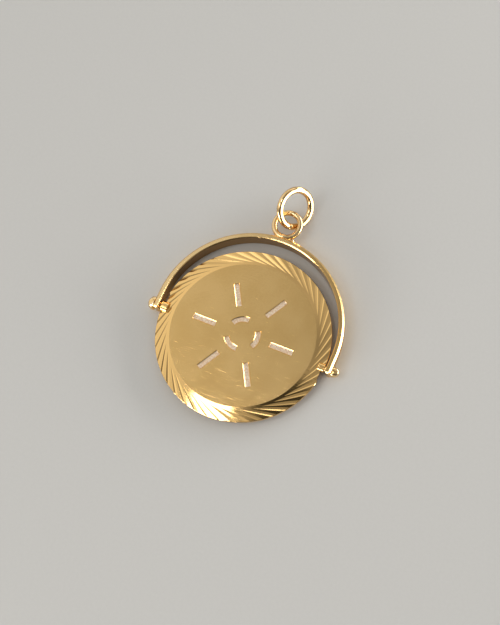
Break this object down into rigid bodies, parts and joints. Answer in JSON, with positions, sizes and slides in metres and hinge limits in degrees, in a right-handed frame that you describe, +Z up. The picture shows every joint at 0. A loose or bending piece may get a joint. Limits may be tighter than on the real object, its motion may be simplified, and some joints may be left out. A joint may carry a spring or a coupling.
{
  "type": "spinning disc pendant",
  "caption": "Spinning disc pendant: an engraved disc with a cut border turns on rivets in an arched swivel frame with a bail ring and a jump ring.",
  "frame": {"origin": "on the surface that the pendant lies on, under the middle of its outline", "axes": "+X along the disc's pivot axis, +Y from the disc towards the jump ring, +Z up out of the disc's front face"},
  "size_m": [0.023, 0.0278, 0.0042],
  "materials": {
    "disc_gold": "satin",
    "frame_gold": "satin",
    "wire_gold": "polished",
    "rivet_gold": "polished"
  },
  "bodies": {
    "frame": {"frame": "frame_gold", "jump_ring": "wire_gold"},
    "disc": {"disc": "disc_gold", "left_rivet": "rivet_gold", "right_rivet": "rivet_gold"}
  },
  "joints": [
    {"name": "disc_spin", "type": "hinge", "parent": "frame", "child": "disc", "pos_m": [0, -0.00429, 0.0009], "axis": [1, 0, 0], "continuous": true}
  ]
}
